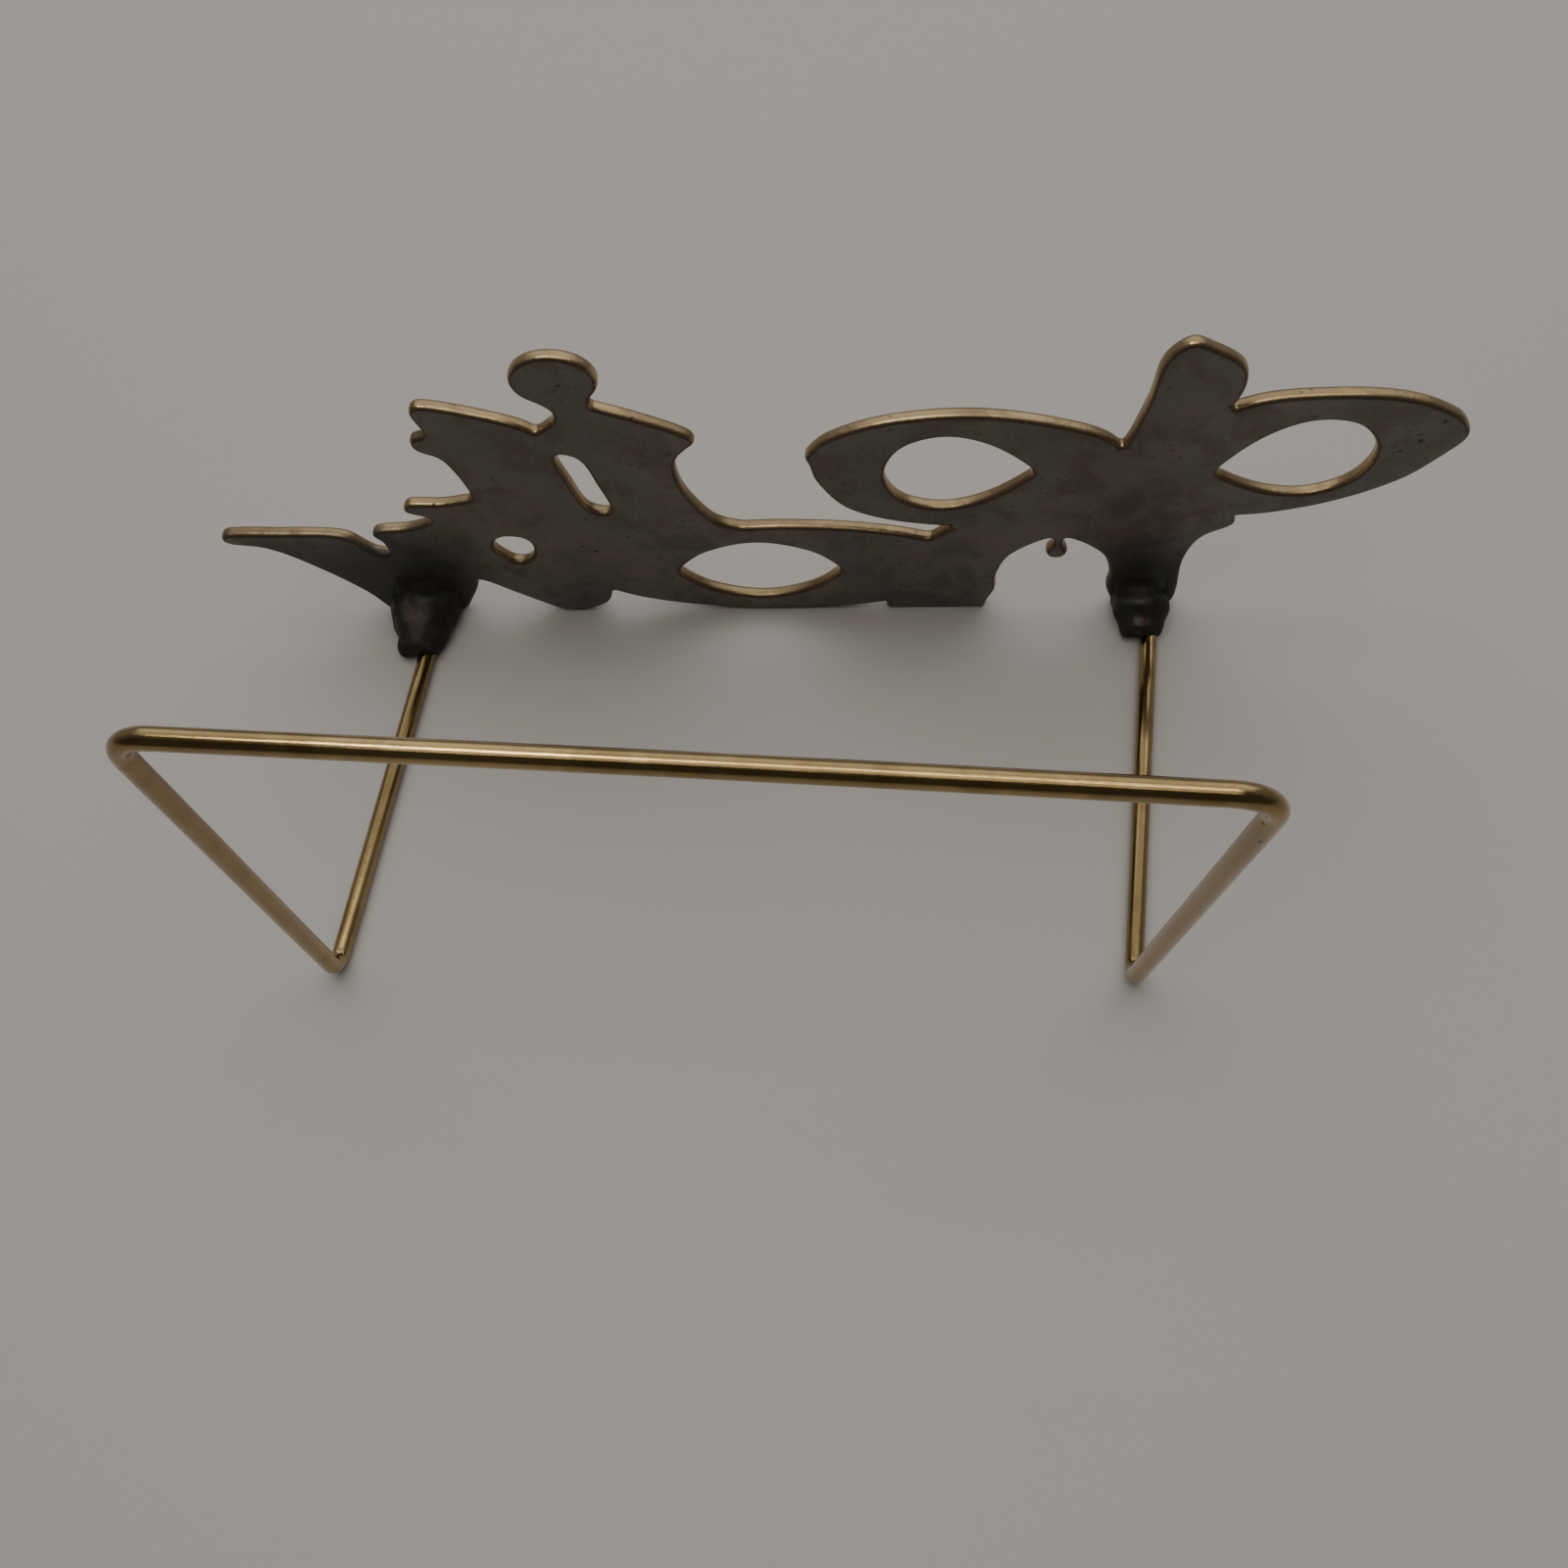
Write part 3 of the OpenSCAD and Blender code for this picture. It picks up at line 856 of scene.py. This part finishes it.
# %% Pits group
WOBBLE_SCALE = 900.0
WOBBLE_SIZE = 0.6 * MM
PATCH_NOISE = (75.0, 4.0, 0.6)
LUCK_SHARE = 0.55
PATCH_SHARE = 0.9
PIT_FLOOR = 0.6
pits, p_in, p_out = shader_group(
    "pits",
    {"Scale": 900.0, "Size": 0.22, "Coverage": 0.5},
    ["Mask", "Height"],
)
cells = place(pits, "ShaderNodeTexVoronoi", feature="F1")
cells.inputs["Randomness"].default_value = 1.0
bent = place(pits, "ShaderNodeVectorMath", operation="ADD")
wobble = place(pits, "ShaderNodeVectorMath", operation="SCALE")
wobble.inputs["Scale"].default_value = WOBBLE_SIZE
wobble_noise = place(pits, "ShaderNodeTexNoise")
wobble_noise.inputs["Scale"].default_value = WOBBLE_SCALE
join(
    pits,
    (p_in.outputs["Vector"], wobble_noise.inputs["Vector"]),
    (wobble_noise.outputs["Color"], wobble.inputs[0]),
    (p_in.outputs["Vector"], bent.inputs[0]),
    (wobble.outputs[0], bent.inputs[1]),
    (bent.outputs[0], cells.inputs["Vector"]),
    (p_in.outputs["Scale"], cells.inputs["Scale"]),
)
round_pit = math_node(pits, "SUBTRACT", p_in.outputs["Size"], cells.outputs["Distance"])
round_pit = math_node(pits, "DIVIDE", round_pit, p_in.outputs["Size"], clamp=True)
patch = times(pits, noise_node(pits, p_in.outputs["Vector"], *PATCH_NOISE), PATCH_SHARE)
luck = times(pits, cells.outputs["Color"], LUCK_SHARE)
chosen = math_node(pits, "GREATER_THAN", p_in.outputs["Coverage"],
                   math_node(pits, "ADD", luck, patch))
pit_mask = times(pits, math_node(pits, "SMOOTH_MIN", round_pit, PIT_FLOOR), chosen)
join(
    pits,
    (pit_mask, p_out.inputs["Mask"]),
    (times(pits, pit_mask, -1.0), p_out.inputs["Height"]),
)
print("pits group:", len(pits.nodes), "nodes")

# %% [markdown]
# ## Building a material
# Each finish is one Principled shader. Its colour is built up in layers, as a finish is on a
# bench: bare metal or patina first, then each stain laid over it where a mask says so. All
# patterns read Object coordinates or values stored with the points, so they stay on the metal from
# every side.

# %% Material helpers
def colour(hex_code):
    """A colour written as on a paint card, turned into the linear values that shaders use."""
    parts = [int(hex_code[i:i + 2], 16) / 255 for i in (0, 2, 4)]
    linear = [p / 12.92 if p <= 0.04045 else ((p + 0.055) / 1.055) ** 2.4 for p in parts]
    return (*linear, 1.0)


def blank_material(name, existing=None):
    material = existing or bpy.data.materials.new(name)
    material.use_nodes = True
    tree = material.node_tree
    tree.nodes.clear()
    shader = place(tree, "ShaderNodeBsdfPrincipled")
    surface = place(tree, "ShaderNodeOutputMaterial")
    tree.links.new(shader.outputs["BSDF"], surface.inputs["Surface"])
    return material, tree, shader, place(tree, "ShaderNodeTexCoord").outputs["Object"]


def use_group(tree, group, vector, **values):
    made_node = place(tree, "ShaderNodeGroup")
    made_node.node_tree = group
    tree.links.new(vector, made_node.inputs["Vector"])
    for label, value in values.items():
        made_node.inputs[label.replace("_", " ")].default_value = value
    return made_node.outputs


def blend(tree, factor, first, second, data_type="RGBA"):
    """The first value where the factor is 0, and the second where it is 1."""
    made_node = place(tree, "ShaderNodeMix", data_type=data_type)
    ending = "Color" if data_type == "RGBA" else "Float"
    by_id = {s.identifier: s for s in (*made_node.inputs, *made_node.outputs)}
    feed(tree, by_id["Factor_Float"], factor)
    feed(tree, by_id["A_" + ending], first)
    feed(tree, by_id["B_" + ending], second)
    return by_id["Result_" + ending]


def stained(tree, under, hex_code, mask, strength=None):
    """The colour under a stain of hex_code, which lies where the mask is high."""
    share = mask if strength is None else times(tree, mask, strength)
    return blend(tree, share, under, colour(hex_code))


def point_value(tree, name, output="Fac"):
    return place(tree, "ShaderNodeAttribute", attribute_name=name).outputs[output]


def bump(tree, height, distance, base=None):
    made_node = place(tree, "ShaderNodeBump")
    feed_all(tree, made_node, {"Strength": 1.0, "Distance": distance, "Height": height})
    if base is not None:
        tree.links.new(base, made_node.inputs["Normal"])
    return made_node.outputs[0]


# %% [markdown]
# ## Single marks
# A few marks are larger than the scattered pits, and each has its own place: two by one of the
# rod's upper bends, one on the upright under it, six on the plate, and a faint red haze on the back
# where a joint was heated. Each is a soft ball in space, which marks the surface inside it.

# %% Marks, each with its middle and radius in mm
ROD_MARKS = (
    ((-59.3, 43.2, 86.2), 0.42),
    ((-60.1, 43.3, 81.2), 0.5),
    ((-58.9, 40.5, 51.8), 0.3),
)
PLATE_MARKS = (
    ((36.6, -42.0, 65.8), 0.45),
    ((38.8, -42.0, 20.4), 0.5),
    ((41.2, -42.0, 22.0), 0.35),
    ((-102.0, -42.0, 48.4), 0.7),
    ((-99.5, -42.0, 45.9), 0.5),
    ((-104.3, -42.0, 53.1), 0.55),
)
RED_HAZE = ((-59.0, -42.0, 29.0), 13.0)
MARK_CORE = 0.35


def single_mark(tree, vector, middle, radius, strength=1.0):
    """A soft round mask: full strength at the middle, nothing past the radius."""
    away = place(tree, "ShaderNodeVectorMath", operation="DISTANCE")
    tree.links.new(vector, away.inputs[0])
    away.inputs[1].default_value = [c * MM for c in middle]
    core = radius * MARK_CORE * MM
    return ramp(tree, away.outputs["Value"], core, radius * MM, strength, 0.0)


print("single marks:", len(ROD_MARKS), "on the rod,", len(PLATE_MARKS), "on the plate")

# %% [markdown]
# ## The patinated plate
# The plate's back kept its dark brown patina, a little redder and greener in places. The front was
# polished and has tarnished only lightly. Handling wore the rim back to brass, unevenly, so grain
# breaks up the boundary of the wear. Just inside the rim, where the edge rounds over, a dark brown
# line is painted shade, for the dark room that the rounded edge mirrors. Soot from the torch
# covers everything around the two joints, so it is laid on last.

# %% Layers of the plate's colour
patina, tree, shader, here = blank_material("patinated_brass")
clouds = use_group(tree, tarnish, here, Cloud_Scale=26.0, Blotch_Scale=150.0, Grain_Scale=1300.0)
small_pits = use_group(tree, pits, here, Scale=620.0, Size=0.3, Coverage=0.52)
rim = point_value(tree, "rim")
soot = point_value(tree, "soot")
front = point_value(tree, "front")
centred_grain = math_node(tree, "SUBTRACT", clouds["Grain"], 0.5)
centred_blotch = math_node(tree, "SUBTRACT", clouds["Blotch"], 0.5)

back_patina = blend(tree, clouds["Cloud"], colour("706B67"), colour("807972"))
back_patina = stained(tree, back_patina, "625954", clouds["Blotch"], 0.6)
back_patina = stained(tree, back_patina, "958C83", ramp(tree, clouds["Grain"], 0.5, 0.75), 0.3)
front_brass = stained(tree, colour("B99C68"), "957B4E", clouds["Blotch"], 0.6)
front_share = times(tree, front, ramp(tree, clouds["Cloud"], 0.0, 1.0, 0.95, 0.7))
plate_colour = blend(tree, front_share, back_patina, front_brass)
# Painted shade: a dark brown line along the rounded edge, for the dark room it mirrors.
plate_colour = stained(tree, plate_colour, "4A3C2B", ramp(tree, rim, 0.02, 0.3), 0.65)

ragged_rim = math_node(tree, "ADD", rim, times(tree, centred_grain, 0.5))
unworn_patches = ramp(tree, clouds["Blotch"], 0.0, 1.0, 1.0, 0.72)
worn = times(tree, ramp(tree, ragged_rim, 0.5, 0.82), unworn_patches)
rim_brass = blend(tree, clouds["Cloud"], colour("B09A74"), colour("927E5E"))
plate_colour = blend(tree, worn, plate_colour, rim_brass)
speck = times(tree, ramp(tree, clouds["Grain"], 0.54, 0.68), ramp(tree, clouds["Blotch"], 0.2, 0.9))
plate_colour = stained(tree, plate_colour, "5A4832", times(tree, speck, worn), 0.6)
plate_colour = stained(tree, plate_colour, "3A332C", small_pits["Mask"], 0.7)
for middle, radius in PLATE_MARKS:
    mark = single_mark(tree, here, middle, radius, 0.8)
    plate_colour = stained(tree, plate_colour, "2C2622", mark)
back_only = math_node(tree, "SUBTRACT", 1.0, front)
haze = times(tree, single_mark(tree, here, *RED_HAZE, 0.32), back_only)
plate_colour = stained(tree, plate_colour, "6B4A40", haze)
sooty = ramp(tree, math_node(tree, "ADD", soot, times(tree, centred_blotch, 0.12)), 0.04, 0.72)
plate_colour = stained(tree, plate_colour, "40403C", sooty, 0.95)

# %% Gloss and relief of the plate
PLATE_RELIEF = 0.13 * MM
rough = blend(tree, worn, ramp(tree, clouds["Cloud"], 0.0, 1.0, 0.42, 0.52), 0.3, "FLOAT")
rough = blend(tree, sooty, rough, 0.5, "FLOAT")
metal = blend(tree, worn, 0.75, 1.0, "FLOAT")
metal = blend(tree, sooty, metal, 0.45, "FLOAT")
fine_relief = times(tree, clouds["Grain"], 0.35)
relief = math_node(tree, "ADD", fine_relief, times(tree, clouds["Blotch"], 0.3))
relief = math_node(tree, "ADD", relief, small_pits["Height"])
feed_all(tree, shader, {
    "Base Color": plate_colour,
    "Roughness": rough,
    "Metallic": metal,
    "Normal": bump(tree, relief, PLATE_RELIEF),
})
plate.data.materials.append(patina)
print("patinated_brass:", len(tree.nodes), "nodes")

# %% [markdown]
# ## The drawn brass rod
# Drawing leaves brass clean and smooth, with fine lines along its length. The lines are a noise on
# the stored place around and along the rod, stretched along it, so they follow every bend. The
# uprights are rougher than the crossbar and the legs, and their colour is painted shade, darker
# and greyer, for the dark room they mirror. A weak coat on the shader stands for thin old lacquer.

# %% Drawn brass
LINE_STRETCH = 3.0
LINE_NOISE = (13.0, 5.0, 0.65)
LINE_RELIEF = 0.013 * MM
ROD_RELIEF = 0.1 * MM
PIT_BROWN = "20150C"
_, tree, shader, here = blank_material("drawn_brass", drawn_brass)
clouds = use_group(tree, tarnish, here, Cloud_Scale=34.0, Blotch_Scale=190.0, Grain_Scale=1500.0)
rod_pits = use_group(tree, pits, here, Scale=420.0, Size=0.2, Coverage=0.36)
around_rod = place(tree, "ShaderNodeSeparateXYZ")
line_place = place(tree, "ShaderNodeCombineXYZ")
object_place = place(tree, "ShaderNodeSeparateXYZ")
join(
    tree,
    (point_value(tree, "facing", "Vector"), around_rod.inputs[0]),
    (around_rod.outputs["X"], line_place.inputs["X"]),
    (around_rod.outputs["Y"], line_place.inputs["Y"]),
    (times(tree, point_value(tree, "along"), LINE_STRETCH), line_place.inputs["Z"]),
    (here, object_place.inputs[0]),
)
drawn_lines = noise_node(tree, line_place.outputs[0], *LINE_NOISE)
height = object_place.outputs["Z"]
# A mask over the uprights: it makes them rougher, and it lays painted shade on their colour.
above_legs = ramp(tree, height, 4.0 * MM, 22.0 * MM)
under_crossbar = ramp(tree, height, 82.0 * MM, 91.0 * MM, 1.0, 0.0)
dull_and_shaded = times(tree, above_legs, under_crossbar)

brass = blend(tree, clouds["Cloud"], colour("B39A68"), colour("9C8559"))
brass = stained(tree, brass, "866B44", clouds["Blotch"], 0.55)
brass = stained(tree, brass, "7A6339", ramp(tree, drawn_lines, 0.5, 0.7), 0.35)
# Painted shade on the uprights: a darker, greyer brass where the mask is high.
brass = stained(tree, brass, "9A8468", dull_and_shaded, 0.6)
brass = stained(tree, brass, PIT_BROWN, rod_pits["Mask"])
for middle, radius in ROD_MARKS:
    brass = stained(tree, brass, PIT_BROWN, single_mark(tree, here, middle, radius))
rod_rough = blend(tree, ramp(tree, clouds["Cloud"], 0.0, 1.0), 0.075, 0.13, "FLOAT")
rod_rough = blend(tree, dull_and_shaded, rod_rough, 0.24, "FLOAT")
line_normal = bump(tree, drawn_lines, LINE_RELIEF)
rod_height = math_node(tree, "ADD", times(tree, clouds["Grain"], 0.12), rod_pits["Height"])
feed_all(tree, shader, {
    "Base Color": brass,
    "Roughness": rod_rough,
    "Normal": bump(tree, rod_height, ROD_RELIEF, base=line_normal),
    "Metallic": 1.0,
    "Coat Weight": 0.3,
    "Coat Roughness": 0.1,
})
print("drawn_brass:", len(tree.nodes), "nodes")

# %% [markdown]
# ## Torch-black solder
# Solder heated with a torch burns black and stays so, because nobody polishes it. It is mostly
# dull, with a few glossier spots and rust-brown patches, so roughness and metal both follow the
# slow clouds, and the shine is kept weak.

# %% Torch-black solder
SOLDER_RELIEF = 0.05 * MM
black_solder, tree, shader, here = blank_material("torch_black_solder")
clouds = use_group(tree, tarnish, here, Cloud_Scale=160.0, Blotch_Scale=420.0, Grain_Scale=1800.0)
solder_pits = use_group(tree, pits, here, Scale=900.0, Size=0.35, Coverage=0.55)
black = blend(tree, clouds["Cloud"], colour("2B2B2A"), colour("3B3E3C"))
black = stained(tree, black, "40291E", clouds["Blotch"], 0.7)
relief = math_node(tree, "ADD", times(tree, clouds["Grain"], 0.5), solder_pits["Height"])
feed_all(tree, shader, {
    "Base Color": black,
    "Roughness": ramp(tree, clouds["Cloud"], 0.0, 1.0, 0.62, 0.5),
    "Metallic": ramp(tree, clouds["Cloud"], 0.0, 1.0, 0.2, 0.5),
    "Normal": bump(tree, relief, SOLDER_RELIEF),
    "Specular IOR Level": 0.35,
})
for piece in (left_lump, right_lump):
    piece.data.materials.append(black_solder)
print("materials:", [m.name for m in (patina, drawn_brass, black_solder)])

# %% [markdown]
# ## Handing the pieces to the frame
# Each finished piece rides on the CAD's one body, and the CAD node that it stands for is hidden.

# %% Ride and replace
for piece, node, slot in (
    (plate, "fret_plate", "patinated_plate"),
    (rod, "wire_frame", "rod_brass"),
    (left_lump, "left_solder", "solder"),
    (right_lump, "right_solder", "solder"),
):
    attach(piece, "root")
    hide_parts(node)

# %% [markdown]
# ## Floor
# The stand is small, so any plain pale table would do. A wide disc is used, with its edge far out
# of sight, so that no corner of it shows from any side.

# %% Floor
FLOOR_RADIUS = 6.0
floor_bm = bmesh.new()
bmesh.ops.create_circle(floor_bm, cap_ends=True, cap_tris=False, segments=96, radius=FLOOR_RADIUS)
floor_mesh = bpy.data.meshes.new("floor")
floor_bm.to_mesh(floor_mesh)
floor_bm.free()
floor = shown("floor", floor_mesh)
floor_material, tree, shader, here = blank_material("pale_floor")
feed_all(tree, shader, {"Base Color": colour("D3CFCB"), "Roughness": 0.6})
floor_mesh.materials.append(floor_material)
print("floor radius:", FLOOR_RADIUS, "m")

# %% [markdown]
# ## Lights
# Brass shows what it mirrors, so the lamps are placed for their reflections first. A wide lamp
# hangs almost overhead and lights the whole stand. A long narrow lamp and a short one on the left
# draw the bright line along the crossbar. They are seen only in reflections, because on the floor
# they would cast hard shadows. A pale ceiling and a far window beyond the plate light it from that
# side. Little comes from the camera's side, so the plate's back and the rod stay dark there.

# %% Lights
WARM, NEUTRAL, COOL = "FFF9EE", "FFFCF8", "F6F8FF"
# Name, place, aimed at, width, height, watts, tint, and whether it lights the floor.
LIGHTS = (
    ("wide_lamp", (0.05, 0.09, 1.0), (0.05, 0.09, 0.0), 0.9, 0.78, 2.2, WARM, True),
    ("long_lamp", (0.05, -0.03, 0.99), (0.05, -0.03, 0.0), 0.95, 0.1, 1.5, WARM, False),
    ("left_lamp", (0.34, -0.02, 0.98), (0.34, -0.02, 0.0), 0.3, 0.14, 1.2, WARM, False),
    ("pale_ceiling", (0.0, -0.85, 1.02), (0.0, -0.85, 0.0), 2.0, 1.5, 3.8, NEUTRAL, True),
    ("far_window", (-0.15, -1.5, 1.3), (0.0, 0.0, 0.0), 3.6, 1.5, 9.5, COOL, True),
)
for name, spot, target, width, tall, watts, tint, lights_floor in LIGHTS:
    lamp = bpy.data.lights.new(name, "AREA")
    lamp.shape = "RECTANGLE"
    lamp.size, lamp.size_y = width, tall
    lamp.energy = watts
    lamp.color = colour(tint)[:3]
    made = shown(name, lamp)
    made.location = spot
    made.rotation_euler = (Vector(target) - Vector(spot)).to_track_quat("-Z", "Y").to_euler()
    made.visible_diffuse = lights_floor
print("lights:", [light[0] for light in LIGHTS])

# %% The room around
ROOM_BRIGHT, ROOM_DARK = "A9A8A6", "5C5A56"
ROOM_STRENGTH = 0.6
world = bpy.data.worlds.new("soft_room")
bpy.context.scene.world = world
world.use_nodes = True
tree = world.node_tree
tree.nodes.clear()
room = place(tree, "ShaderNodeBackground")
room.inputs["Strength"].default_value = ROOM_STRENGTH
surface = place(tree, "ShaderNodeOutputWorld")
way = place(tree, "ShaderNodeTexCoord")
split = place(tree, "ShaderNodeSeparateXYZ")
tree.links.new(way.outputs["Generated"], split.inputs[0])
beyond_plate = ramp(tree, split.outputs["Y"], -0.5, 0.45, 1.0, 0.0)
room_colour = blend(tree, beyond_plate, colour(ROOM_DARK), colour(ROOM_BRIGHT))
join(
    tree,
    (room_colour, room.inputs["Color"]),
    (room.outputs[0], surface.inputs["Surface"]),
)
print("room strength:", ROOM_STRENGTH)

# %% [markdown]
# ## Camera
# The stand is looked at from behind and above, from about a quarter of a metre away, with the
# camera rolled a few degrees as it is when held in the hand. A lens this near makes the crossbar
# look wide and the plate behind it small.

# %% Camera
CAMERA_SPOT = Vector((-0.01679, 0.11393, 0.24262))
CAMERA_TARGET = Vector((0.00127, 0.01094, 0.030))
CAMERA_ROLL = -8.96
SENSOR_WIDTH = 36.0
LENS_LENGTH = 33.3
NEAREST_SEEN = 0.01
lens = bpy.data.cameras.new("camera")
lens.sensor_width = SENSOR_WIDTH
lens.lens = LENS_LENGTH
lens.clip_start = NEAREST_SEEN
camera = shown("camera", lens)
camera.location = CAMERA_SPOT
looking = (CAMERA_TARGET - CAMERA_SPOT).to_track_quat("-Z", "Y")
camera.rotation_mode = "QUATERNION"
camera.rotation_quaternion = looking @ Quaternion((0, 0, 1), math.radians(CAMERA_ROLL))
bpy.context.scene.camera = camera
print("camera to middle:", round((CAMERA_TARGET - CAMERA_SPOT).length / MM), "mm")
